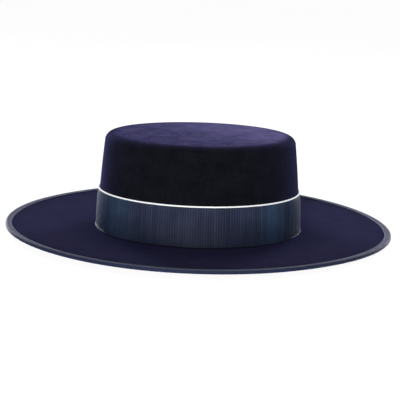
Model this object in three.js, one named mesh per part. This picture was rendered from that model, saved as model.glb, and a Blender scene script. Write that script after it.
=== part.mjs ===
// A gaucho hat: a low, flat-topped felt crown on a wide, almost level brim. A ribbed
// ribbon band goes round the foot of the crown, with a fine white piping along its upper
// edge, and a ribbon folded over the brim's edge binds it.
//
// Millimetres, +Z up. The front of the hat is towards -Y and its back towards +Y. The
// origin is in the middle of the head opening, on the surface that the brim rests on.

import * as THREE from 'three';

// Crown. The head goes in at its foot, where it meets the brim.
const headLength = 194.4; // inside, front to back
const headWidth = 160.7; // inside, side to side
const crownWall = 2;
const crownHeight = 93; // from the brim's upper face to the rim of the flat top
const crownTaper = 6.4; // how far the side leans in on its way up
const taperPower = 1.5; // above 1, the side starts upright and leans more towards the top
const topRadius = 8.3; // round corner between the side and the flat top
const topDish = 0.8; // how far the middle of the top lies below its rim

// Brim. It lies level round the crown, then rises gently to its edge.
const brimWall = 2.2;
const reachEnds = 89.6; // from the crown's foot to the bound edge, at the front and back
const reachSides = 92; // the same at the sides
const reachTrim = 2; // how much shorter the reach is half-way between them
const levelRing = 20; // width of the level part round the hollow at the crown's foot
const riseFront = 2.2; // how far the edge stands above the level part
const riseBack = 4.7;
const riseSides = 5.1;
const risePower = 1.8;
const breakRadius = 4; // hollow where the crown turns into the brim

// Band
const bandWall = 0.8;
const bandFoot = 1.2; // lower edge above the brim's upper face
const bandTop = 37.8; // upper edge above the brim's upper face
const bandEase = 0.5; // how far it bellies out between its two edges
const bandLap = 18; // how far its outer end passes over its inner end, on the left side
const bandGap = 0.3; // room to the crown, and between the lapped ends

// Piping
const pipingDiameter = 1.5;
const pipingGap = 0.3; // room to the crown and to the band below

// Binding
const bindingWidth = 6.4; // how far it reaches in over each face of the brim
const bindingWall = 0.5;
const bindingGap = 0.25; // room to the felt

// How finely the round shapes are cut
const segments = 64; // round the oval
const topRings = [0.3, 0.6, 0.85]; // on the flat top, as shares of its rim
const cornerSteps = 5; // round the top's corner
const sideSteps = 4; // down the crown's side
const hollowSteps = 4; // from the crown into the brim
const brimSteps = 4; // across the part of the brim that rises
const noseSteps = 4; // round the brim's edge
const bindingSteps = 2; // across the binding
const lapSteps = 2; // along the lapped end of the band
const pipingSides = 8;
const bandRows = [0, 0.03, 0.07, 0.13, 0.4, 0.7, 0.93, 1]; // shares of the band's height

// Colours
const feltNavy = 0x262440;
const ribbonNavy = 0x283448;
const cordWhite = 0xf4f3f0;
const bindingGrey = 0x4c4e64;
const feltRoughness = 0.95;
const ribbonRoughness = 0.6;
const cordRoughness = 0.7;

const turn = 2 * Math.PI;
const quarter = turn / 4;
const half = turn / 2;

const foot = { x: headWidth / 2 + crownWall, y: headLength / 2 + crownWall };
const sideHeight = crownHeight - topRadius;
const levelEnd = breakRadius + levelRing;
const crownTop = brimWall + crownHeight;

/** Collects loops of points and the faces between them into one closed surface. */
class Skin {
  points = [];
  faces = [];

  /** Adds points and returns their numbers. */
  loop(points) {
    const first = this.points.length;
    this.points.push(...points);
    return points.map((_, i) => first + i);
  }

  /** Fills a four-sided face. */
  quad(a, b, c, d) {
    this.faces.push(a, b, c, a, c, d);
  }

  /** Joins two closed loops of equal length. */
  join(upper, lower) {
    upper.forEach((_, i) => {
      const next = (i + 1) % upper.length;
      this.quad(upper[i], lower[i], lower[next], upper[next]);
    });
  }

  /** Closes a loop with a fan of faces to one point, which faces up or down. */
  fan(loop, point, facesUp) {
    const [pole] = this.loop([point]);
    loop.forEach((_, i) => {
      const next = (i + 1) % loop.length;
      const [from, to] = facesUp ? [i, next] : [next, i];
      this.faces.push(pole, loop[from], loop[to]);
    });
  }

  /** Closes a loop whose second half runs back beside its first half. */
  endCap(loop, facesForward) {
    const last = loop.length - 1;
    for (let i = 0; i < loop.length / 2 - 1; i += 1) {
      const rim = [loop[i], loop[i + 1], loop[last - i - 1], loop[last - i]];
      this.quad(...(facesForward ? rim : rim.reverse()));
    }
  }

  geometry() {
    const shape = new THREE.BufferGeometry().setFromPoints(this.points);
    shape.setIndex(this.faces);
    shape.computeVertexNormals();
    return shape;
  }
}

/** Values from 0 to 1 in equal steps, both ends included. */
const steps = (count) => Array.from({ length: count + 1 }, (_, i) => i / count);

/** Points of an elliptical arc in the plane of a section, from one angle to another. */
function arc(centre, radii, from, to, count) {
  return steps(count).map((share) => {
    const angle = from + (to - from) * share;
    return {
      out: centre.out + radii.out * Math.cos(angle),
      up: centre.up + radii.up * Math.sin(angle),
    };
  });
}

/** A point of the hat: so far out from the crown's foot, so far up, drawn in by a share. */
function place(angle, { out, up, share = 1 }) {
  return new THREE.Vector3(
    (foot.x + out) * share * Math.cos(angle),
    (foot.y + out) * share * Math.sin(angle),
    up,
  );
}

/** A value that goes smoothly from the sides to the front and to the back. */
function around(angle, sides, front, back) {
  const end = Math.sin(angle) > 0 ? back : front;
  return sides * Math.cos(angle) ** 2 + end * Math.sin(angle) ** 2;
}

/** How far the crown's side has leaned in at a height above the brim. */
const lean = (height) => crownTaper * Math.max(height / sideHeight, 0) ** taperPower;

/** Where the outer face of the felt lies at a height above the brim. */
function crownFace(height) {
  const inHollow = Math.max(breakRadius - height, 0);
  return breakRadius - Math.sqrt(breakRadius ** 2 - inHollow ** 2) - lean(height);
}

/** Where the brim's felt ends. */
function feltEdge(angle) {
  const reach = around(angle, reachSides, reachEnds, reachEnds);
  return reach - reachTrim * Math.sin(2 * angle) ** 2 - bindingWall - bindingGap;
}

/** Height of the brim's lower face. */
function brimRise(angle, out) {
  const share = Math.max(out - levelEnd, 0) / (feltEdge(angle) - levelEnd);
  return around(angle, riseSides, riseFront, riseBack) * share ** risePower;
}

/** Points over the brim's edge, a clearance away from it, from the upper face to the lower. */
function overEdge(angle, start, clearance, faceSteps) {
  const nose = brimWall / 2;
  const end = feltEdge(angle) - nose;
  const outs = steps(faceSteps).map((share) => start + (end - start) * share);
  const onFace = (out, height) => ({ out, up: brimRise(angle, out) + height });
  const centre = onFace(end, nose);
  const radius = nose + clearance;
  const upper = outs.slice(0, -1).map((out) => onFace(out, brimWall + clearance));
  const lower = outs.slice(0, -1).map((out) => onFace(out, -clearance));
  const round = arc(centre, { out: radius, up: radius }, quarter, -quarter, noseSteps);
  return [...upper, ...round, ...lower.reverse()];
}

/** The turn between crown and brim, on a face that is so far inside the felt. */
function breakTurn(intoCrown, intoBrim) {
  const centre = { out: breakRadius, up: brimWall + breakRadius };
  const radii = { out: breakRadius + intoCrown, up: breakRadius + intoBrim };
  return arc(centre, radii, half, half + quarter, hollowSteps);
}

/** The crown from the middle of its top down to the brim, on its outer or inner face. */
function crownPoints(inset) {
  const radius = Math.max(topRadius - inset, crownWall / 4);
  const rim = crownTop - inset;
  const corner = { out: -crownTaper - inset - radius, up: rim - radius };
  const onTop = (share) => ({
    out: corner.out,
    up: rim - topDish * (1 - share ** 2),
    share,
  });
  const turnDown = arc(corner, { out: radius, up: radius }, quarter, 0, cornerSteps);
  const side = steps(sideSteps).slice(1, -1).map((share) => {
    const height = sideHeight + (breakRadius - sideHeight) * share;
    return { out: -inset - lean(height), up: brimWall + height };
  });
  return [...topRings.map(onTop), ...turnDown, ...side];
}

/** The felt's outline at an angle, from the top's outer face round to its inner face. */
function feltSection(angle) {
  const outer = [...crownPoints(0), ...breakTurn(0, 0)];
  const inner = [...crownPoints(crownWall), ...breakTurn(crownWall, brimWall)];
  return [...outer, ...overEdge(angle, levelEnd, 0, brimSteps), ...inner.reverse()];
}

/** One oval of points round the hat for each place in a section. */
function ovals(sectionAt) {
  const angles = steps(segments).slice(0, -1).map((share) => share * turn);
  const sections = angles.map((angle) => sectionAt(angle));
  return sections[0].map((_, k) => angles.map((angle, i) => place(angle, sections[i][k])));
}

/** Crown and brim, blocked from one piece of felt and open below. */
function feltBody() {
  const skin = new Skin();
  const loops = ovals(feltSection).map((points) => skin.loop(points));
  loops.slice(1).forEach((loop, i) => skin.join(loops[i], loop));
  const middle = (wall) => new THREE.Vector3(0, 0, crownTop - topDish - wall);
  skin.fan(loops[0], middle(0), true);
  skin.fan(loops.at(-1), middle(crownWall), false);
  return skin.geometry();
}

/** A ring whose section closes on itself. */
function ring(sectionAt) {
  const skin = new Skin();
  const loops = ovals(sectionAt).map((points) => skin.loop(points));
  loops.forEach((loop, i) => skin.join(loop, loops[(i + 1) % loops.length]));
  return skin.geometry();
}

/** Both faces of the band at one place along it, lifted clear of its own inner end. */
function bandSection(angle, lift) {
  const face = (extra) => bandRows.map((share) => {
    const height = bandFoot + (bandTop - bandFoot) * share;
    const belly = bandEase * (1 - (2 * share - 1) ** 4);
    return place(angle, {
      out: crownFace(height) + bandGap + belly + lift + extra,
      up: brimWall + height,
    });
  });
  return [...face(bandWall), ...face(0).reverse()];
}

/** One strip of ribbon round the crown, whose outer end passes over its inner end. */
function bandStrip() {
  const lapAngle = bandLap / (foot.y + bandGap + bandWall);
  const round = steps(segments).map((share) => share * turn);
  const lap = steps(lapSteps).slice(1).map((share) => turn + lapAngle * share);
  const skin = new Skin();
  const loops = [...round, ...lap].map((angle) => {
    const lift = angle < turn ? 0 : bandWall + bandGap;
    return skin.loop(bandSection(angle, lift));
  });
  loops.slice(1).forEach((loop, i) => skin.join(loops[i], loop));
  skin.endCap(loops[0], true);
  skin.endCap(loops.at(-1), false);
  return skin.geometry();
}

/** Round cord that lies on the band's upper edge, against the crown. */
function pipingSection() {
  const radius = pipingDiameter / 2;
  const height = bandTop + pipingGap + radius;
  const centre = { out: crownFace(height) + pipingGap + radius, up: brimWall + height };
  return arc(centre, { out: radius, up: radius }, turn, 0, pipingSides).slice(1);
}

/** Ribbon folded over the brim's edge. */
function bindingSection(angle) {
  const start = feltEdge(angle) + bindingGap + bindingWall - bindingWidth;
  const outer = overEdge(angle, start, bindingGap + bindingWall, bindingSteps);
  const inner = overEdge(angle, start, bindingGap, bindingSteps);
  return [...outer, ...inner.reverse()];
}

/** A named piece with its colour and finish. */
function piece(name, geometry, color, roughness) {
  const material = new THREE.MeshStandardMaterial({ color, roughness, metalness: 0 });
  const mesh = new THREE.Mesh(geometry, material);
  mesh.name = name;
  return mesh;
}

const hat = new THREE.Group();
hat.name = 'gaucho_hat';
hat.add(
  piece('felt_body', feltBody(), feltNavy, feltRoughness),
  piece('ribbon_band', bandStrip(), ribbonNavy, ribbonRoughness),
  piece('piping', ring(pipingSection), cordWhite, cordRoughness),
  piece('brim_binding', ring(bindingSection), bindingGrey, ribbonRoughness),
);

export default hat;
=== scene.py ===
"""A navy gaucho hat: felt crown and brim, ribbed band, white piping and bound edge.

Everything is in metres, +Z up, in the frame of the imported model. The front of the hat
is towards -Y and its back towards +Y. Sizes are written in millimetres times MM.
"""
import logging
import math
from collections.abc import Mapping
from dataclasses import dataclass, field
from enum import Enum, auto
from typing import ClassVar

import bpy
import numpy as np
from mathutils import Matrix, Vector


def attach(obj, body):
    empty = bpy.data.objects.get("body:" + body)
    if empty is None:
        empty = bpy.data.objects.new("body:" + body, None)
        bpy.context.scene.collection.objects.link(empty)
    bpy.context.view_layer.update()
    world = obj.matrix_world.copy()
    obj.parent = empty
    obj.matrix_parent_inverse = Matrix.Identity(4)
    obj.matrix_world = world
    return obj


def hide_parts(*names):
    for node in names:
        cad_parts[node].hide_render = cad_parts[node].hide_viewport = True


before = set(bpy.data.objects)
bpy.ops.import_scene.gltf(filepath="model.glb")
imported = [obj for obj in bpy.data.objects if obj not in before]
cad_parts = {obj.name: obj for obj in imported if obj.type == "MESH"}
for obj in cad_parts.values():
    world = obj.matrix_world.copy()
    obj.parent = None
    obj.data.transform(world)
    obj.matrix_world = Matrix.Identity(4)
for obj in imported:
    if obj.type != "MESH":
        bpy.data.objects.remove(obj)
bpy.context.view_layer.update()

MM = 0.001
TURN = 2 * math.pi
HALF = math.pi
QUARTER = math.pi / 2
BODY = "root"

# A Mix node's inputs for two colours and its output for their blend, behind those for numbers.
MIX_COLOURS = (6, 7)
MIX_RESULT = 2

Array = np.ndarray
Numbers = Array | float
Span = tuple[float, float]
Place = tuple[float, float, float]
Colour = tuple[float, float, float, float]
Pair = tuple[Colour, Colour]
Object = bpy.types.Object
Material = bpy.types.Material
Tree = bpy.types.NodeTree
Node = bpy.types.Node
Socket = bpy.types.NodeSocket
Sockets = Mapping[str, Socket]
Value = Socket | float | Colour

BLACK: Colour = (0.0, 0.0, 0.0, 1)
WHITE: Colour = (1.0, 1.0, 1.0, 1)

log = logging.getLogger("gaucho_hat")


class Slot(Enum):
    """The record's material slots."""

    FELT = "felt"
    RIBBON = "ribbon"
    CORD = "cord"
    BINDING = "binding"


class Closing(Enum):
    """How a grid of points closes into a solid."""

    POLES = auto()
    ENDS = auto()
    RING = auto()


def smooth(value: Numbers) -> Numbers:
    """Eases a value from 0 to 1, flat at both ends."""
    held = np.clip(value, 0, 1)
    return held * held * (3 - 2 * held)


def angles_round(count: int) -> Array:
    """Gives so many even angles round a turn, the first one 0."""
    return np.arange(count) / count * TURN


def running(steps: Array) -> Array:
    """Adds up steps from 0."""
    return np.concatenate([[0], np.cumsum(steps)])


def arc(centre: Span, radii: Span, start: float, end: float, count: int) -> Array:
    """Points of an elliptical arc in the plane of a section.

    Args:
        centre: Middle of the arc, as out and up.
        radii: Its radii, out and up.
        start: First angle.
        end: Last angle.
        count: Number of steps.

    Returns:
        Rows of out and up, one more than the steps.
    """
    angles = np.linspace(start, end, count + 1)
    return np.column_stack([centre[0] + radii[0] * np.cos(angles),
                            centre[1] + radii[1] * np.sin(angles)])


def turned(first: Vector, second: Vector, angle: float) -> tuple[Vector, Vector]:
    """Turns two directions at right angles in their plane, the second towards the first."""
    across, along = math.sin(angle), math.cos(angle)
    return along * first - across * second, across * first + along * second


def put_in_scene(name: str, data: bpy.types.ID) -> Object:
    """Makes an object of a mesh, a light or a camera and links it to the scene.

    Args:
        name: Name of the object.
        data: What it shows.

    Returns:
        The object.
    """
    made = bpy.data.objects.new(name, data)
    bpy.context.collection.objects.link(made)
    return made


def mesh_object(name: str, points: Array, faces: list, corners: list) -> Object:
    """Makes a smooth mesh object from points, faces and the UV pairs of their corners.

    Args:
        name: Name of the piece.
        points: Rows of x, y and z.
        faces: Vertex numbers of each face.
        corners: UV pairs of each face.

    Returns:
        The object, linked to the scene.
    """
    mesh = bpy.data.meshes.new(name)
    mesh.from_pydata(points.tolist(), [], faces)
    uv = mesh.uv_layers.new(name="metres")
    uv.data.foreach_set("uv", np.array([pair for face in corners for pair in face]).ravel())
    mesh.polygons.foreach_set("use_smooth", np.ones(len(mesh.polygons), bool))
    mesh.update()
    return put_in_scene(name, mesh)


@dataclass
class Surface:
    """A grid of points that becomes a closed mesh with a UV map in metres.

    Attributes:
        points: Grid of rows by columns by three.
        along: U of each column, and of the first one again if the columns close.
        across: V of each row, and of the first one again if the rows close.
        closing: POLES if the columns close, and the first and last rows to a point. ENDS if
            the rows close, and flat faces close both ends. RING if rows and columns close.
        faces: Vertex numbers of each face that has been added.
        corners: UV pairs of each of them.
    """

    points: Array
    along: Array
    across: Array
    closing: Closing
    faces: list = field(default_factory=list)
    corners: list = field(default_factory=list)

    def add_sides(self) -> None:
        """Adds the four-sided faces between rows and columns."""
        rows, columns = self.points.shape[:2]
        for row in range(rows - (self.closing is Closing.POLES)):
            below = (row + 1) % rows
            top, foot = self.across[row], self.across[row + 1]
            for column in range(columns - (self.closing is Closing.ENDS)):
                beside = (column + 1) % columns
                left, right = self.along[column], self.along[column + 1]
                self.faces.append([row * columns + column, below * columns + column,
                                   below * columns + beside, row * columns + beside])
                self.corners.append([(left, top), (left, foot), (right, foot), (right, top)])

    def add_poles(self) -> None:
        """Adds fans from the first and last rows to two points after all the others."""
        rows, columns = self.points.shape[:2]
        pole, last = rows * columns, (rows - 1) * columns
        top, foot = self.across[0], self.across[-1]
        for column in range(columns):
            beside = (column + 1) % columns
            left, right = self.along[column], self.along[column + 1]
            self.faces += [[pole, column, beside], [pole + 1, last + beside, last + column]]
            self.corners += [[(left, top), (left, top), (right, top)],
                             [(left, foot), (right, foot), (left, foot)]]

    def add_ends(self) -> None:
        """Adds both ends of a strip whose second half of rows runs back beside its first."""
        rows, columns = self.points.shape[:2]
        for row in range(rows // 2 - 1):
            rim = [row, row + 1, rows - row - 2, rows - row - 1]
            for column, order in ((0, rim[::-1]), (columns - 1, rim)):
                self.faces.append([line * columns + column for line in order])
                self.corners.append([(self.along[column], self.across[line]) for line in order])

    def build(self, name: str) -> Object:
        """Makes the mesh object, smooth shaded.

        Args:
            name: Name of the piece.

        Returns:
            The object, linked to the scene.
        """
        points = self.points.reshape(-1, 3)
        self.add_sides()
        if self.closing is Closing.POLES:
            self.add_poles()
            points = np.vstack([points, self.points[[0, -1]].mean(axis=1)])
        elif self.closing is Closing.ENDS:
            self.add_ends()
        return mesh_object(name, points, self.faces, self.corners)


@dataclass(frozen=True)
class HatForm:
    """The felt's shape, which every other piece lies on."""

    head_length: float = 194.4 * MM
    head_width: float = 160.7 * MM
    crown_wall: float = 2.0 * MM
    crown_height: float = 93.0 * MM
    crown_taper: float = 6.4 * MM
    taper_power: float = 1.5
    top_radius: float = 8.3 * MM
    top_dish: float = 0.8 * MM
    brim_wall: float = 2.2 * MM
    reach_ends: float = 89.6 * MM
    reach_sides: float = 92.0 * MM
    reach_trim: float = 2.0 * MM
    level_ring: float = 20.0 * MM
    rise_front: float = 2.2 * MM
    rise_back: float = 4.7 * MM
    rise_sides: float = 5.1 * MM
    rise_power: float = 1.8
    break_radius: float = 4.0 * MM
    binding_wall: float = 0.5 * MM
    binding_gap: float = 0.25 * MM
    edge_wave: float = 0.30 * MM
    wave_counts: tuple[int, int] = (3, 10)
    wave_sizes: Span = (0.4, 1.0)
    wave_seed: int = 11

    @property
    def foot(self) -> Span:
        """Half axes of the crown's outer oval at its foot."""
        return self.head_width / 2 + self.crown_wall, self.head_length / 2 + self.crown_wall

    @property
    def rim_half(self) -> Span:
        """Half axes of the oval where the side turns into the flat top."""
        return self.foot[0] - self.crown_taper, self.foot[1] - self.crown_taper

    @property
    def side_height(self) -> float:
        """Height at which the side turns into the flat top."""
        return self.crown_height - self.top_radius

    @property
    def level_end(self) -> float:
        """Where the brim starts to rise."""
        return self.break_radius + self.level_ring

    def place(self, angle: Array, out: Array, up: Array,
              share: Numbers = 1.0) -> Array:
        """Turns section values into points of the hat.

        Args:
            angle: Angle round the oval.
            out: Distance out from the crown's foot.
            up: Height.
            share: Share of the oval that is kept, towards the middle of the top.

        Returns:
            Points, in the shape of the inputs with one more axis of three.
        """
        angle, out, up, share = np.broadcast_arrays(angle, out, up, share)
        return np.stack([(self.foot[0] + out) * share * np.cos(angle),
                         (self.foot[1] + out) * share * np.sin(angle), up], axis=-1)

    def around(self, angle: Array, sides: float, front: float, back: float) -> Array:
        """Gives a value that goes smoothly from the sides to the front and the back."""
        end = np.where(np.sin(angle) > 0, back, front)
        return sides * np.cos(angle) ** 2 + end * np.sin(angle) ** 2

    def lean(self, height: Numbers) -> Numbers:
        """Gives how far the side has leaned in at a height above the brim."""
        return self.crown_taper * np.maximum(height / self.side_height, 0) ** self.taper_power

    def crown_face(self, height: Numbers) -> Numbers:
        """Gives where the felt's outer face lies at a height above the brim."""
        low = np.maximum(self.break_radius - height, 0)
        return self.break_radius - np.sqrt(self.break_radius ** 2 - low ** 2) - self.lean(height)

    def felt_edge(self, angle: Array) -> Array:
        """Gives where the brim's felt ends."""
        reach = self.around(angle, self.reach_sides, self.reach_ends, self.reach_ends)
        return (reach - self.reach_trim * np.sin(2 * angle) ** 2
                - self.binding_wall - self.binding_gap)

    def unevenness(self, angle: Array) -> Array:
        """Gives the small waves that blocking by hand leaves in the brim's edge.

        Args:
            angle: Angles round the oval.

        Returns:
            How far each wave lifts the edge.
        """
        draw = np.random.default_rng(self.wave_seed)
        total = np.zeros_like(angle)
        for waves in range(*self.wave_counts):
            phase, size = draw.uniform(0, TURN), draw.uniform(*self.wave_sizes)
            total = total + size / waves * np.sin(waves * angle + phase)
        return self.edge_wave * total

    def brim_rise(self, angle: Array, out: Array) -> Array:
        """Gives the height of the brim's lower face.

        Args:
            angle: Angles round the oval.
            out: Distances out from the crown's foot.

        Returns:
            The heights.
        """
        share = np.maximum(out - self.level_end, 0) / (self.felt_edge(angle) - self.level_end)
        rise = self.around(angle, self.rise_sides, self.rise_front, self.rise_back)
        return rise * share ** self.rise_power + self.unevenness(angle) * smooth(share)

    def over_edge(self, angle: Array, start: Numbers, clearance: float, face_steps: int,
                  nose_steps: int) -> Array:
        """Follows the brim over its edge, a clearance away from the felt.

        Args:
            angle: Angles round the oval.
            start: Where the path starts, out from the crown's foot.
            clearance: Distance kept from the felt.
            face_steps: Steps on each face.
            nose_steps: Steps round the edge.

        Returns:
            Out and up, each rows by columns, from the upper face to the lower.
        """
        nose = self.brim_wall / 2
        end = self.felt_edge(angle) - nose
        outs = start + (end - start) * np.linspace(0, 1, face_steps + 1)[:-1, None]
        rise = self.brim_rise(angle, outs)
        turn = np.linspace(QUARTER, -QUARTER, nose_steps + 1)[:, None]
        radius = nose + clearance
        round_up = self.brim_rise(angle, end) + nose + radius * np.sin(turn)
        out = np.vstack([outs, end + radius * np.cos(turn), outs[::-1]])
        up = np.vstack([rise + self.brim_wall + clearance, round_up, rise[::-1] - clearance])
        return np.stack([out, up])


@dataclass
class ShaderTree:
    """A node tree with short ways to add nodes and join them."""

    tree: Tree

    def feed(self, target: Socket, value: Value) -> None:
        """Joins a socket to an input, or sets a number or a colour on it.

        Args:
            target: The input.
            value: Socket, number or colour.
        """
        if isinstance(value, Socket):
            self.tree.links.new(value, target)
        else:
            target.default_value = value

    def fill(self, node: Node, **values: object) -> Node:
        """Sets a node's properties and feeds its inputs.

        Args:
            node: The node.
            values: Properties, or values of inputs by name with underscores for spaces.

        Returns:
            The node.
        """
        for name, value in values.items():
            if hasattr(node, name):
                setattr(node, name, value)
            else:
                self.feed(node.inputs[name.replace("_", " ")], value)
        return node

    def add(self, kind: str, **values: object) -> Node:
        """Adds a node by Blender's name of its kind and fills in its values."""
        return self.fill(self.tree.nodes.new(kind), **values)

    def maths(self, operation: str, *values: Socket | float) -> Socket:
        """Adds a sum of one to three values.

        Args:
            operation: Blender's name of the sum.
            values: Sockets or numbers.

        Returns:
            The result.
        """
        node = self.add("ShaderNodeMath", operation=operation)
        for target, value in zip(node.inputs, values):
            self.feed(target, value)
        return node.outputs[0]

    def split(self, where: Socket) -> list[Socket]:
        """Splits coordinates into x, y and z."""
        return list(self.add("ShaderNodeSeparateXYZ", Vector=where).outputs)

    def noise(self, where: Socket, per_metre: Socket | float, detail: float = 3.0,
              roughness: float = 0.55) -> Socket:
        """Adds noise with so many features for each metre and returns its value."""
        return self.add("ShaderNodeTexNoise", Vector=where, Scale=per_metre, Detail=detail,
                        Roughness=roughness).outputs["Fac"]

    def wander(self, place: Socket, where: Socket, per_metre: float, reach: float) -> Socket:
        """Shifts a place to and fro by noise, over a reach in all."""
        swing = self.maths("SUBTRACT", self.noise(where, per_metre), 0.5)
        return self.maths("MULTIPLY_ADD", swing, reach, place)

    def ramp(self, value: Socket, start: float, end: float) -> Socket:
        """Adds a soft step from 0 at the start to 1 at the end."""
        return self.add("ShaderNodeMapRange", interpolation_type="SMOOTHSTEP", Value=value,
                        From_Min=start, From_Max=end).outputs["Result"]

    def weigh(self, value: Socket, share: float, rest: Socket | float = 1.0) -> Socket:
        """Takes a share of one value and the rest of another, or of 1."""
        return self.maths("MULTIPLY_ADD", value, share, self.maths("MULTIPLY", rest, 1 - share))

    def mix(self, share: Socket, first: Socket | Colour, second: Socket | Colour) -> Socket:
        """Blends two colours.

        Args:
            share: Share of the second, from 0 to 1.
            first: Socket or colour.
            second: Socket or colour.

        Returns:
            The blended colour.
        """
        node = self.add("ShaderNodeMix", data_type="RGBA", Factor=share)
        for number, value in zip(MIX_COLOURS, (first, second)):
            self.feed(node.inputs[number], value)
        return node.outputs[MIX_RESULT]


def new_group(name: str, inputs: dict[str, float],
              outputs: tuple[str, ...]) -> tuple[ShaderTree, Node, Node]:
    """Starts a node group with named sockets and a Vector input.

    Args:
        name: Name of the group.
        inputs: Names and usual values of its number inputs.
        outputs: Names of its number outputs.

    Returns:
        Its tree, its input node and its output node.
    """
    tree = bpy.data.node_groups.new(name, "ShaderNodeTree")
    tree.interface.new_socket("Vector", in_out="INPUT", socket_type="NodeSocketVector")
    for label, value in inputs.items():
        made = tree.interface.new_socket(label, in_out="INPUT", socket_type="NodeSocketFloat")
        made.default_value = value
    for label in outputs:
        tree.interface.new_socket(label, in_out="OUTPUT", socket_type="NodeSocketFloat")
    group = ShaderTree(tree)
    return group, group.add("NodeGroupInput"), group.add("NodeGroupOutput")


@dataclass(frozen=True)
class MottleEffect:
    """Soft patches of two sizes, as brushing and handling leave in cloth."""

    broad_per_metre: float = 90.0
    fine_per_metre: float = 420.0
    detail: float = 4.0
    roughness: float = 0.6
    spread: Span = (0.32, 0.68)

    def build(self) -> Tree:
        """Builds the group.

        Returns:
            The group, which puts out Patches and Grain.
        """
        inputs = {"Broad": self.broad_per_metre, "Fine": self.fine_per_metre}
        group, source, result = new_group("soft_mottle", inputs, ("Patches", "Grain"))
        for size, out in (("Broad", "Patches"), ("Fine", "Grain")):
            noise = group.noise(source.outputs["Vector"], source.outputs[size], self.detail,
                                self.roughness)
            spread = group.add("ShaderNodeMapRange", Value=noise, From_Min=self.spread[0],
                               From_Max=self.spread[1])
            group.feed(result.inputs[out], spread.outputs["Result"])
        return group.tree


@dataclass(frozen=True)
class WeaveEffect:
    """A ribbed weave: ribs across the ribbon, each a little unlike the next.

    A rib's streak is an even part, a part drawn for that rib alone, and a part that drifts
    from rib to rib.
    """

    pitch: float = 1.05 * MM
    thread: float = 0.35 * MM
    even_part: float = 0.25
    own_part: float = 0.16
    drift_part: float = 0.34
    drift_per_rib: float = 0.42
    drift_detail: float = 2.0

    def build(self) -> Tree:
        """Builds the group.

        Returns:
            The group, which puts out Rib, Streak and Weft.
        """
        inputs = {"Pitch": self.pitch, "Thread": self.thread}
        group, source, result = new_group("ribbed_weave", inputs, ("Rib", "Streak", "Weft"))
        along, up, _ = group.split(source.outputs["Vector"])
        counted = group.maths("DIVIDE", along, source.outputs["Pitch"])
        wave = group.maths("SINE", group.maths("MULTIPLY", counted, HALF))
        group.feed(result.inputs["Rib"], group.maths("ABSOLUTE", wave))
        number = group.maths("FLOOR", counted)
        own = group.add("ShaderNodeTexWhiteNoise", noise_dimensions="1D", W=number)
        drift = group.add("ShaderNodeTexNoise", noise_dimensions="1D", W=number,
                          Scale=self.drift_per_rib, Detail=self.drift_detail)
        streak = group.maths("MULTIPLY_ADD", own.outputs["Value"], self.own_part, self.even_part)
        group.feed(result.inputs["Streak"],
                   group.maths("MULTIPLY_ADD", drift.outputs["Fac"], self.drift_part, streak))
        threads = group.maths("DIVIDE", up, source.outputs["Thread"])
        shifted = group.maths("MULTIPLY", number, QUARTER)
        weft = group.maths("SINE", group.maths("MULTIPLY_ADD", threads, TURN, shifted))
        group.feed(result.inputs["Weft"], weft)
        return group.tree


@dataclass(frozen=True)
class ShaderGroups:
    """The effects that more than one finish uses, each a node group."""

    mottle: Tree
    weave: Tree


def new_material(name: str) -> tuple[Material, ShaderTree, Node]:
    """Starts a material.

    Args:
        name: Name of the material.

    Returns:
        The material, its tree and its shader.
    """
    material = bpy.data.materials.new(name)
    material.use_nodes = True
    shader = ShaderTree(material.node_tree)
    return material, shader, material.node_tree.nodes["Principled BSDF"]


@dataclass(frozen=True, kw_only=True)
class ClothFinish:
    """What every finish of the hat is: mottled cloth with a fine bump and a sheen."""

    groups: ShaderGroups
    name: str
    patches_per_metre: float
    grain_per_metre: float
    bump_strength: float
    bump_depth: float = 0.05 * MM
    roughness: Span
    specular: float = 0.5
    sheen: Colour = WHITE
    sheen_weight: float
    sheen_roughness: float = 0.5
    # Painted light: a glow of the cloth's own, none unless a finish sets it.
    glow: Colour = WHITE
    painted_glow_strength: float = 0.0

    def looks(self, shader: ShaderTree, place: Sockets, mottle: Sockets) -> tuple[Socket, Socket]:
        """Gives the cloth's colour and the height of its bump, from places and patches."""
        raise NotImplementedError

    def make(self) -> Material:
        """Builds the material.

        Returns:
            The material.
        """
        material, shader, surface = new_material(self.name)
        place = shader.add("ShaderNodeTexCoord").outputs
        mottle = shader.add("ShaderNodeGroup", node_tree=self.groups.mottle,
                            Vector=place["Object"], Broad=self.patches_per_metre,
                            Fine=self.grain_per_metre).outputs
        colour, height = self.looks(shader, place, mottle)
        bump = shader.add("ShaderNodeBump", Strength=self.bump_strength,
                          Distance=self.bump_depth, Height=height)
        rough = shader.add("ShaderNodeMapRange", Value=mottle["Grain"],
                           To_Min=self.roughness[0], To_Max=self.roughness[1])
        shader.fill(surface, Base_Color=colour, Normal=bump.outputs["Normal"],
                    Roughness=rough.outputs["Result"], Specular_IOR_Level=self.specular,
                    Sheen_Weight=self.sheen_weight, Sheen_Roughness=self.sheen_roughness,
                    Sheen_Tint=self.sheen, Emission_Color=self.glow,
                    Emission_Strength=self.painted_glow_strength)
        return material


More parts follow.
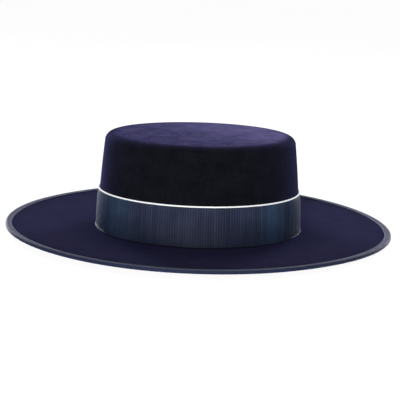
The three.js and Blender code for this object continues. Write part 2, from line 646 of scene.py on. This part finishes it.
@dataclass(frozen=True, kw_only=True)
class FeltFinish(ClothFinish):
    """Brushed navy wool felt: matt, soft-edged patches and a short nap that catches the light.

    Each pair of colours is that of the deep patches and of the light ones. The flat top is
    paler by a painted sheen, with a painted highlight towards the front left, and the brim is
    darker near the crown's foot by painted shade. A wander is so many swings for each metre,
    and how far they reach.
    """

    name: str = "navy_felt"
    rim_half: Span
    side: Pair = ((0.0036, 0.0044, 0.0050, 1), (0.0086, 0.0096, 0.0126, 1))
    brim: Pair = ((0.0052, 0.0055, 0.0084, 1), (0.0132, 0.0136, 0.0216, 1))
    # Painted shade: darker colours on the brim near the crown's foot.
    foot: Pair = ((0.0020, 0.0028, 0.0032, 1), (0.0052, 0.0068, 0.0082, 1))
    # Painted sheen: the flat top's paler colours, and paler still where the painted highlight lies.
    top_painted_sheen: Pair = ((0.0110, 0.0100, 0.0280, 1), (0.0660, 0.0600, 0.1330, 1))
    top_painted_highlight: Pair = ((0.0660, 0.0600, 0.1330, 1), (0.1370, 0.1240, 0.2620, 1))
    brim_top: Span = (14 * MM, 30 * MM)
    # Where the painted shade near the crown's foot ends, as shares of the top's rim.
    painted_shade_end: Span = (1.08, 1.62)
    # Where the painted highlight on the top lies, and how it wanders.
    highlight_slant: float = 0.7
    highlight_span: Span = (-45 * MM, 85 * MM)
    highlight_wander: Span = (22.0, 90 * MM)
    # Where the painted sheen on the top starts, and how it fades towards the rim.
    top_edge: Span = (93.3 * MM, 94.1 * MM)
    fade: Span = (0.966, 0.845)
    fade_wander: Span = (40.0, 0.05)
    patches_per_metre: float = 70.0
    grain_per_metre: float = 310.0
    patch_share: float = 0.6
    nap_per_metre: float = 1500.0
    nap_detail: float = 5.0
    nap_roughness: float = 0.7
    brush_per_metre: float = 260.0
    brush_height: float = 1.4
    bump_strength: float = 0.9
    bump_depth: float = 0.32 * MM
    roughness: Span = (0.86, 1.0)
    specular: float = 0.0
    sheen: Colour = (0.36, 0.34, 1.0, 1)
    sheen_weight: float = 0.155
    sheen_roughness: float = 0.48

    def colour(self, shader: ShaderTree, where: Socket, share: Socket) -> Socket:
        """Gives the felt's colour: patchy, bluer out on the brim, with painted shade and sheen.

        Painted shade darkens the brim near the crown's foot. A painted sheen makes the flat top
        pale, less towards its rim, and a painted highlight makes it paler towards the front left.
        How far out a place lies is a share of the top's rim, 1 on its oval.

        Args:
            shader: The material's tree.
            where: Coordinates in metres.
            share: The patches, from 0 to 1.

        Returns:
            The colour.
        """
        x, y, z = shader.split(where)
        pairs = (self.side, self.foot, self.brim, self.top_painted_sheen, self.top_painted_highlight)
        side, foot, brim, top_sheen, top_highlight = (shader.mix(share, *pair) for pair in pairs)
        parts = [shader.maths("DIVIDE", part, half) for part, half in zip((x, y), self.rim_half)]
        squares = [shader.maths("MULTIPLY", part, part) for part in parts]
        out = shader.maths("SQRT", shader.maths("ADD", *squares))
        # Painted shade on the brim near the crown's foot.
        brim = shader.mix(shader.ramp(out, *self.painted_shade_end), foot, brim)
        below = shader.mix(shader.ramp(z, *self.brim_top), brim, side)
        # Painted highlight on the top, stronger towards the front left.
        ahead = shader.maths("MULTIPLY", shader.maths("SUBTRACT", x, y), self.highlight_slant)
        highlight_share = shader.ramp(shader.wander(ahead, where, *self.highlight_wander), *self.highlight_span)
        # Painted sheen on the flat top, fading towards its rim.
        inside = shader.ramp(shader.wander(out, where, *self.fade_wander), *self.fade)
        top_sheen_share = shader.maths("MULTIPLY", inside, shader.ramp(z, *self.top_edge))
        return shader.mix(top_sheen_share, below, shader.mix(highlight_share, top_sheen, top_highlight))

    def looks(self, shader: ShaderTree, place: Sockets, mottle: Sockets) -> tuple[Socket, Socket]:
        """Gives the felt's colour and its nap.

        Args:
            shader: The material's tree.
            place: Coordinates by name.
            mottle: The patches and the grain.

        Returns:
            The colour and the height of the bump.
        """
        where = place["Object"]
        share = shader.weigh(mottle["Patches"], self.patch_share, mottle["Grain"])
        nap = shader.noise(where, self.nap_per_metre, self.nap_detail, self.nap_roughness)
        brush = shader.noise(where, self.brush_per_metre)
        height = shader.maths("MULTIPLY_ADD", brush, self.brush_height, nap)
        return self.colour(shader, where, share), height


@dataclass(frozen=True)
class PaintedLustre:
    """Painted reflection and painted shade on a ribbon round the crown.

    It turns teal where a painted sheen lies and then dark where painted shade lies, as its
    ribs would lie to the eye. Places along it are shares of the half length from the middle
    of the hat to its front or back. Painted shade dims it towards its foot.
    """

    half_length: float
    # Painted sheen.
    teal: Colour = (0.070, 0.124, 0.236, 1)
    teal_from: Span = (0.52, 0.76)
    # Painted shade.
    dark: Colour = (0.032, 0.064, 0.162, 1)
    dark_from: Span = (0.80, 0.92)
    wander: Span = (28.0, 0.16)
    # Painted shade towards the foot: the span it rises over, and the share kept at the foot.
    painted_shade_rise: Span = (2.0 * MM, 40.0 * MM)
    painted_shade_foot_share: float = 0.42

    def turn(self, shader: ShaderTree, where: Socket, bright: Colour) -> Socket:
        """Paints sheen and shade onto a colour along the ribbon.

        Args:
            shader: The material's tree.
            where: Coordinates in metres.
            bright: The ribbon's own colour.

        Returns:
            The changed colour.
        """
        _, y, z = shader.split(where)
        share = shader.maths("DIVIDE", shader.maths("ABSOLUTE", y), self.half_length)
        place = shader.wander(share, where, *self.wander)
        tealed = shader.mix(shader.ramp(place, *self.teal_from), bright, self.teal)
        darkened = shader.mix(shader.ramp(place, *self.dark_from), tealed, self.dark)
        kept = shader.weigh(shader.ramp(z, *self.painted_shade_rise), 1 - self.painted_shade_foot_share)
        return shader.mix(kept, BLACK, darkened)


@dataclass(frozen=True, kw_only=True)
class RibbonFinish(ClothFinish):
    """Ribbed ribbon with a soft sheen. The ribs run across it."""

    dark: Colour
    bright: Colour
    # Painted reflection and painted shade along the ribbon, if any.
    painted_lustre: PaintedLustre | None = None
    pitch: float = 2.4 * MM
    streak_share: float = 0.76
    rib_share: float = 0.55
    patches_per_metre: float = 45.0
    grain_per_metre: float = 240.0
    bump_strength: float = 0.6
    roughness: Span = (0.32, 0.46)
    specular: float = 0.20
    sheen_roughness: float = 0.24

    def looks(self, shader: ShaderTree, place: Sockets, mottle: Sockets) -> tuple[Socket, Socket]:
        """Gives the ribbon's colour and its weft.

        Args:
            shader: The material's tree.
            place: Coordinates by name.
            mottle: The patches and the grain.

        Returns:
            The colour and the height of the bump.
        """
        weave = shader.add("ShaderNodeGroup", node_tree=self.groups.weave, Vector=place["UV"],
                           Pitch=self.pitch).outputs
        share = shader.weigh(weave["Streak"], self.streak_share, mottle["Patches"])
        crest = shader.maths("MULTIPLY", share, shader.weigh(weave["Rib"], self.rib_share))
        bright: Value = self.bright
        if self.painted_lustre:
            bright = self.painted_lustre.turn(shader, place["Object"], bright)
        return shader.mix(crest, self.dark, bright), weave["Weft"]


@dataclass(frozen=True, kw_only=True)
class CordFinish(ClothFinish):
    """Whitened cotton, faintly uneven. It glows a little though it is no lamp: painted light."""

    name: str = "white_cord"
    shade: Colour = (0.90, 0.90, 0.90, 1)
    white: Colour = (0.97, 0.97, 0.97, 1)
    patches_per_metre: float = 150.0
    grain_per_metre: float = 900.0
    bump_strength: float = 0.4
    roughness: Span = (0.6, 0.8)
    sheen_weight: float = 0.8
    glow: Colour = (0.95, 0.97, 1.0, 1)
    # Painted light: the cord glows faintly to stay bright white.
    painted_glow_strength: float = 0.26

    def looks(self, shader: ShaderTree, place: Sockets, mottle: Sockets) -> tuple[Socket, Socket]:
        """Gives the cord's colour and its grain, from the patches alone."""
        return shader.mix(mottle["Patches"], self.shade, self.white), mottle["Grain"]


@dataclass
class HatPiece:
    """What every piece of the hat has: the form that it lies on, and its finish."""

    form: HatForm
    finish: Material
    slot: ClassVar[Slot]
    node: ClassVar[str]

    def build(self) -> Object:
        """Makes the piece's mesh object."""
        raise NotImplementedError

    def hand_over(self, piece: Object, material: Material, *nodes: str) -> Object:
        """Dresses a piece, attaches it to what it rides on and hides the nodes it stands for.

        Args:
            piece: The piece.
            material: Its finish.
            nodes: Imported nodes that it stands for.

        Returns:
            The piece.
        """
        piece.data.materials.append(material)
        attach(piece, BODY)
        if nodes:
            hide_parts(*nodes)
        return piece

    def dress(self) -> list[Object]:
        """Builds the piece and gives it its finish."""
        return [self.hand_over(self.build(), self.finish, self.node)]


@dataclass
class FeltBody(HatPiece):
    """Crown and brim, blocked from one piece of felt and open below."""

    slot = Slot.FELT
    node = "felt_body"
    columns: int = 320
    top_steps: int = 22
    corner_steps: int = 14
    side_steps: int = 26
    hollow_steps: int = 10
    brim_steps: int = 34
    nose_steps: int = 8
    inner_top: float = 0.02

    def face_rows(self, inset: float, into_brim: float) -> list[Array]:
        """Follows a face from the middle of the crown's top, down its side, into the brim.

        Args:
            inset: How far the face lies inside the crown's outer face.
            into_brim: How far it lies below the brim's upper face.

        Returns:
            Out, up and the kept share of the oval, one value a row.
        """
        form = self.form
        radius = form.top_radius - inset
        top = form.brim_wall + form.crown_height - inset
        centre = (-form.crown_taper - inset - radius, top - radius)
        shares = np.linspace(self.inner_top, 1, self.top_steps + 1)[:-1]
        corner = arc(centre, (radius, radius), QUARTER, 0, self.corner_steps)
        heights = np.linspace(form.side_height, form.break_radius, self.side_steps + 1)[1:-1]
        hollow = arc((form.break_radius, form.brim_wall + form.break_radius),
                     (form.break_radius + inset, form.break_radius + into_brim),
                     HALF, HALF + QUARTER, self.hollow_steps)
        out = [np.full_like(shares, centre[0]), corner[:, 0], -inset - form.lean(heights),
               hollow[:, 0]]
        up = [top - form.top_dish * (1 - shares ** 2), corner[:, 1], form.brim_wall + heights,
              hollow[:, 1]]
        kept = [shares, np.ones(len(corner) + len(heights) + len(hollow))]
        return [np.concatenate(parts) for parts in (out, up, kept)]

    def build(self) -> Object:
        """Makes the felt as one closed surface.

        Returns:
            The mesh object.
        """
        form = self.form
        angle = angles_round(self.columns)
        outer = self.face_rows(0.0, 0.0)
        inner = self.face_rows(form.crown_wall, form.brim_wall)
        edge = form.over_edge(angle, form.level_end, 0.0, self.brim_steps, self.nose_steps)
        spread = np.ones((1, self.columns))
        rows = [np.vstack([above[:, None] * spread, middle, below[::-1, None] * spread])
                for above, middle, below in zip(outer, (*edge, np.ones_like(edge[0])), inner)]
        points = form.place(angle[None, :], *rows)
        reach = np.arange(self.columns + 1) / self.columns * TURN * form.foot[1]
        steps = np.linalg.norm(np.diff(points[:, 0], axis=0), axis=1)
        return Surface(points, reach, running(steps), Closing.POLES).build("felt_shape")


@dataclass
class RibbonBand(HatPiece):
    """One strip of ribbed ribbon round the foot of the crown, lapped on the left side."""

    slot = Slot.RIBBON
    node = "ribbon_band"
    wall: float = 0.8 * MM
    foot: float = 1.2 * MM
    top: float = 37.8 * MM
    belly: float = 0.5 * MM
    belly_power: int = 4
    lap: float = 18.0 * MM
    gap: float = 0.3 * MM
    rib_pitch: float = 2.4 * MM
    rib_depth: float = 0.24 * MM
    rib_sizes: Span = (0.55, 1.0)
    selvedge: float = 1.1 * MM
    ramp: float = 9.0 * MM
    oval_steps: int = 7200
    columns_per_rib: int = 8
    middle_rows: int = 8
    edge_rows: tuple[float, ...] = (0.0, 0.08 * MM, 0.30 * MM, 0.70 * MM, 1.30 * MM)
    seed: int = 23

    def stations(self) -> tuple[Array, Array]:
        """Works out where the columns stand.

        Returns:
            Distance along the strip, and the angle round the oval.
        """
        fine = np.linspace(0, TURN, self.oval_steps + 1)
        x, y = self.form.foot[0] * np.cos(fine), self.form.foot[1] * np.sin(fine)
        run = running(np.hypot(np.diff(x), np.diff(y)))
        length = run[-1] + self.lap
        count = int(length / self.rib_pitch) * self.columns_per_rib
        along = np.linspace(0, length, count + 1)
        lapped = along > run[-1]
        return along, np.interp(along - lapped * run[-1], run, fine) + lapped * TURN

    def ribs(self, along: Array) -> Array:
        """Gives the height of the ribs along the strip, each a little unlike the next.

        Args:
            along: Distances along the strip.

        Returns:
            The heights.
        """
        draw = np.random.default_rng(self.seed)
        number = np.floor(along / self.rib_pitch).astype(int)
        size = draw.uniform(*self.rib_sizes, number.max() + 1)[number]
        return self.rib_depth * size * np.abs(np.sin(HALF * along / self.rib_pitch))

    def heights(self) -> Array:
        """Gives the heights of the rows, close together at both edges.

        Returns:
            The heights, from the top down.
        """
        near = np.array(self.edge_rows)
        span = self.top - self.foot
        middle = np.linspace(near[-1], span - near[-1], self.middle_rows + 2)[1:-1]
        return self.foot + np.concatenate([near, middle, span - near[::-1]])[::-1]

    def build(self) -> Object:
        """Makes the strip as one closed surface.

        Returns:
            The mesh object.
        """
        along, angle = self.stations()
        height = self.heights()[:, None]
        share = (height - self.foot) / (self.top - self.foot)
        belly = self.belly * (1 - (2 * share - 1) ** self.belly_power)
        over = smooth((angle - TURN) * self.form.foot[0] / self.ramp + 1)
        lift = over * (self.wall + self.gap)
        inner = self.form.crown_face(height) + self.gap + belly + lift
        edge = np.minimum(height - self.foot, self.top - height)
        outer = inner + self.wall + self.ribs(along) * smooth(edge / self.selvedge)
        up = self.form.brim_wall + height + np.zeros_like(angle)
        points = self.form.place(angle[None, :], np.vstack([outer, inner[::-1]]),
                                 np.vstack([up, up[::-1]]))
        across = np.concatenate([height[:, 0], height[::-1, 0], height[:1, 0]])
        return Surface(points, along, across, Closing.ENDS).build("ribbed_band")


@dataclass
class Piping(HatPiece):
    """The fine white cord along the band's upper edge."""

    slot = Slot.CORD
    node = "piping"
    band_top: float
    diameter: float = 1.5 * MM
    gap: float = 0.3 * MM
    columns: int = 720
    sides: int = 12
    twist_pitch: float = 2.4 * MM
    twist_depth: float = 0.05 * MM
    strands: int = 2

    def build(self) -> Object:
        """Makes the cord as a closed ring with a faint twist.

        Returns:
            The mesh object.
        """
        angle = angles_round(self.columns)
        turn = -angles_round(self.sides)[:, None]
        radius = self.diameter / 2
        height = self.band_top + self.gap + radius
        centre = float(self.form.crown_face(height)) + self.gap + radius
        reach = TURN * self.form.foot[1]
        twist = np.cos(self.strands * turn + round(reach / self.twist_pitch) * angle)
        size = radius - self.twist_depth * (1 - twist) / 2
        points = self.form.place(angle[None, :], centre + size * np.cos(turn),
                                 self.form.brim_wall + height + size * np.sin(turn))
        along = np.arange(self.columns + 1) / self.columns * reach
        across = np.arange(self.sides + 1) / self.sides * math.pi * self.diameter
        return Surface(points, along, across, Closing.RING).build("white_piping")


@dataclass
class BrimBinding(HatPiece):
    """Ribbed ribbon folded over the brim's edge and sewn through near its inner edges."""

    slot = Slot.BINDING
    node = "brim_binding"
    thread: Material
    width: float = 6.4 * MM
    rib_pitch: float = 1.0 * MM
    rib_depth: float = 0.09 * MM
    rib_sizes: Span = (0.65, 1.0)
    seam: float = 2.0 * MM
    groove_depth: float = 0.20 * MM
    groove_width: float = 0.55 * MM
    least_wall: float = 0.1 * MM
    edge_steps: int = 1440
    columns_per_rib: int = 2
    face_steps: int = 7
    nose_steps: int = 5
    stitch_pitch: float = 3.2 * MM
    stitch_length: float = 2.1 * MM
    stitch_radius: float = 0.17 * MM
    stitch_tip: float = 0.35
    stitch_sink: float = 0.5
    stitch_sides: int = 6
    stitch_rings: int = 5
    seed: int = 37

    def start(self, angle: Array) -> Array:
        """Gives where the ribbon's inner edge lies."""
        form = self.form
        return form.felt_edge(angle) + form.binding_gap + form.binding_wall - self.width

    def reach(self) -> float:
        """Gives the length of the brim's edge.

        Returns:
            The length.
        """
        angle = np.linspace(0, TURN, self.edge_steps + 1)
        edge = self.form.place(angle, self.form.felt_edge(angle), 0.0)
        return float(np.linalg.norm(np.diff(edge, axis=0), axis=1).sum())

    def build(self) -> Object:
        """Makes the ribbon as a closed ring round the edge.

        Returns:
            The mesh object.
        """
        form = self.form
        ribs = round(self.reach() / self.rib_pitch)
        columns = ribs * self.columns_per_rib
        angle = angles_round(columns)
        start = self.start(angle)
        outer, inner = (form.over_edge(angle, start, clearance, self.face_steps, self.nose_steps)
                        for clearance in (form.binding_gap + form.binding_wall, form.binding_gap))
        draw = np.random.default_rng(self.seed)
        size = np.repeat(draw.uniform(*self.rib_sizes, ribs), self.columns_per_rib)
        wave = np.abs(np.sin(HALF * np.arange(columns) / self.columns_per_rib))
        inward = outer[0] - start
        groove = self.groove_depth * np.exp(-((inward - self.seam) / self.groove_width) ** 2)
        change = self.rib_depth * size * wave * smooth(inward / self.groove_width) - groove
        wall = outer - inner
        ribbed = inner + wall * (1 + change / np.maximum(np.hypot(*wall), self.least_wall))
        points = form.place(angle[None, :], *np.hstack([ribbed, inner[:, ::-1]]))
        along = np.arange(columns + 1) / columns * ribs * self.rib_pitch
        there = running(np.hypot(*np.diff(outer[:, :, 0])))
        across = np.concatenate([there, there[::-1], there[:1]])
        return Surface(points, along, across, Closing.RING).build("edge_binding")

    def stitch_faces(self) -> tuple[list, list]:
        """Works out the faces of one stitch, a tube with flat ends.

        Returns:
            Vertex numbers of each face, and the matching UV pairs.
        """
        sides, rings = self.stitch_sides, self.stitch_rings
        faces, corners = [], []
        for first in range(0, (rings - 1) * sides, sides):
            for side in range(sides):
                here, beside = first + side, first + (side + 1) % sides
                faces.append([here, here + sides, beside + sides, beside])
                corners.append([(0.0, 0.0), (MM, 0.0), (MM, MM), (0.0, MM)])
        last_ring = range((rings - 1) * sides, rings * sides)
        faces += [list(range(sides)), list(reversed(last_ring))]
        return faces, corners + [[(0.0, 0.0)] * sides] * 2

    def stitches(self, upper: bool) -> Object:
        """Makes one row of stitches in the seam.

        Args:
            upper: Whether they lie on the upper face of the brim.

        Returns:
            The joined stitches.
        """
        form = self.form
        count = round(self.reach() / self.stitch_pitch)
        number = np.arange(count)[:, None, None]
        place = np.linspace(0, 1, self.stitch_rings)[:, None]
        turn = angles_round(self.stitch_sides)
        share = self.stitch_length / self.stitch_pitch
        angle = (number + place * share) / count * TURN
        bulge = np.sin(HALF * place)
        radius = self.stitch_radius * (self.stitch_tip + (1 - self.stitch_tip) * bulge)
        out = self.start(angle) + self.seam
        rise = form.brim_rise(angle, out)
        clearance = form.binding_gap + form.binding_wall - self.groove_depth
        proud = clearance + (bulge - self.stitch_sink) * self.stitch_radius
        level = rise + form.brim_wall + proud if upper else rise - proud
        points = form.place(angle, out + radius * np.cos(turn), level + radius * np.sin(turn))
        one, corners = self.stitch_faces()
        each = self.stitch_rings * self.stitch_sides
        faces = [[base + corner for corner in face]
                 for base in range(0, count * each, each) for face in one]
        name = "binding_stitches_upper" if upper else "binding_stitches_lower"
        return mesh_object(name, points.reshape(-1, 3), faces, corners * count)

    def dress(self) -> list[Object]:
        """Builds the ribbon, then the upper and the lower row of stitches, each in its finish."""
        return super().dress() + [self.hand_over(self.stitches(upper), self.thread)
                                  for upper in (True, False)]


@dataclass(frozen=True)
class StudioCamera:
    """The photograph's view of the hat: from the wearer's right, a little above the brim."""

    distance: float = 1186.2 * MM
    across: float = 1.24 * MM
    above: float = 26.16 * MM
    aim_height: float = 2.2 * MM
    heading: float = math.radians(86.96)
    elevation: float = math.radians(12.92)
    roll: float = math.radians(1.63)
    lens_mm: float = 108.05
    sensor_mm: float = 36.0

    def make(self) -> None:
        """Makes the camera and sets it as the scene's."""
        tall = Vector((0, 0, 1))
        right, level = turned(Vector((1, 0, 0)), Vector((0, 1, 0)), self.heading)
        forward, up = turned(level, tall, self.elevation)
        place = self.across * right + self.above * up - self.distance * forward
        up, right = turned(up, right, self.roll)
        data = bpy.data.cameras.new("studio_camera")
        data.lens, data.sensor_width = self.lens_mm, self.sensor_mm
        data.dof.use_dof = False
        camera = put_in_scene("studio_camera", data)
        axes = Matrix((right, up, -forward)).transposed().to_4x4()
        camera.matrix_world = Matrix.Translation(place + self.aim_height * tall) @ axes
        bpy.context.scene.camera = camera


@dataclass(frozen=True)
class SoftLight:
    """A square light that faces the hat, unseen by the camera."""

    name: str
    place: Place
    size: float
    watts: float

    def make(self) -> None:
        """Makes the light."""
        data = bpy.data.lights.new(self.name, "AREA")
        data.shape, data.size, data.energy = "SQUARE", self.size, self.watts
        light = put_in_scene(self.name, data)
        light.location = self.place
        light.visible_camera = False
        light.rotation_mode = "QUATERNION"
        light.rotation_quaternion = (-Vector(self.place)).to_track_quat("-Z", "Y")


@dataclass(frozen=True)
class Studio:
    """A pale floor, a pale surround and soft lights."""

    floor_half: float = 8.0
    floor_drop: float = 0.1 * MM
    floor_shade: Colour = (0.80, 0.80, 0.80, 1)
    seen_shade: Colour = (0.10, 0.10, 0.10, 1)
    floor_roughness: float = 0.9
    floor_specular: float = 0.1
    floor_glow: float = 0.94
    clouds_per_metre: float = 3.0
    cloud_share: float = 0.02
    surround: float = 0.18
    mirrored: float = 0.30
    backdrop: float = 1.0
    lights: tuple[SoftLight, ...] = (
        SoftLight("back_softbox", (1.30, -0.69, 0.36), 0.35, 8.2),
        SoftLight("left_back_softbox", (1.25, 0.85, 0.30), 0.4, 9.0),
        SoftLight("high_back_softbox", (0.70, 0.0, 1.30), 0.8, 14.2),
        SoftLight("front_softbox", (-1.35, 0.10, 0.12), 0.22, 12.8),
    )

    def floor(self) -> None:
        """Makes the floor, which the hat's brim rests on."""
        corners = [(0, 0), (1, 0), (1, 1), (0, 1)]
        points = np.array([((2 * x - 1) * self.floor_half, (2 * y - 1) * self.floor_half,
                            -self.floor_drop) for x, y in corners])
        piece = mesh_object("floor", points, [[0, 1, 2, 3]], [corners])
        material, shader, surface = new_material("pale_floor")
        where = shader.add("ShaderNodeTexCoord").outputs["Object"]
        seen = shader.add("ShaderNodeLightPath").outputs["Is Camera Ray"]
        clouds = shader.noise(where, self.clouds_per_metre)
        glow = shader.maths("MULTIPLY_ADD", clouds, self.cloud_share, self.floor_glow)
        shader.fill(surface, Base_Color=shader.mix(seen, self.floor_shade, self.seen_shade),
                    Roughness=self.floor_roughness, Specular_IOR_Level=self.floor_specular,
                    Emission_Color=WHITE, Emission_Strength=shader.maths("MULTIPLY", seen, glow))
        piece.data.materials.append(material)

    def world(self) -> None:
        """Makes the surround: white to the camera, pale where it is mirrored, dimmer as a light."""
        world = bpy.data.worlds.new("studio_surround")
        bpy.context.scene.world = world
        world.use_nodes = True
        shader = ShaderTree(world.node_tree)
        path = shader.add("ShaderNodeLightPath").outputs
        strength: Socket | float = self.surround
        for ray, wanted in (("Is Glossy Ray", self.mirrored), ("Is Camera Ray", self.backdrop)):
            strength = shader.maths("MULTIPLY_ADD", path[ray], wanted - self.surround, strength)
        shader.fill(world.node_tree.nodes["Background"], Color=WHITE, Strength=strength)

    def make(self) -> None:
        """Builds the whole studio."""
        self.floor()
        self.world()
        for light in self.lights:
            light.make()
        bpy.context.scene.view_settings.view_transform = "Standard"


def main() -> None:
    """Builds the camera, the studio and every piece of the hat."""
    logging.basicConfig(level=logging.INFO, format="%(message)s")
    StudioCamera().make()
    Studio().make()
    groups = ShaderGroups(mottle=MottleEffect().build(), weave=WeaveEffect().build())
    form = HatForm()
    # The band carries painted sheen and painted shade along it.
    ribbon = RibbonFinish(groups=groups, name="navy_ribbon", dark=(0.003, 0.005, 0.012, 1),
                          bright=(0.069, 0.083, 0.158, 1), painted_lustre=PaintedLustre(form.foot[1]),
                          specular=0.08, sheen=(0.64, 0.72, 1.0, 1), sheen_weight=0.46)
    edging = RibbonFinish(groups=groups, name="slate_binding", dark=(0.011, 0.015, 0.038, 1),
                          bright=(0.026, 0.035, 0.086, 1), pitch=1.0 * MM,
                          roughness=(0.5, 0.65), specular=0.13, sheen=(0.72, 0.72, 1.0, 1),
                          sheen_weight=1.0)
    thread = RibbonFinish(groups=groups, name="slate_thread", dark=(0.035, 0.036, 0.070, 1),
                          bright=(0.085, 0.085, 0.150, 1), sheen=(0.80, 0.80, 1.0, 1),
                          sheen_weight=0.4)
    felt = FeltFinish(groups=groups, rim_half=form.rim_half)
    band = RibbonBand(form, ribbon.make())
    parts = [FeltBody(form, felt.make()), band,
             Piping(form, CordFinish(groups=groups).make(), band.top),
             BrimBinding(form, edging.make(), thread.make())]
    for part in parts:
        for piece in part.dress():
            log.info("%s: %d faces", piece.name, len(piece.data.polygons))


if __name__ == "__main__":
    main()
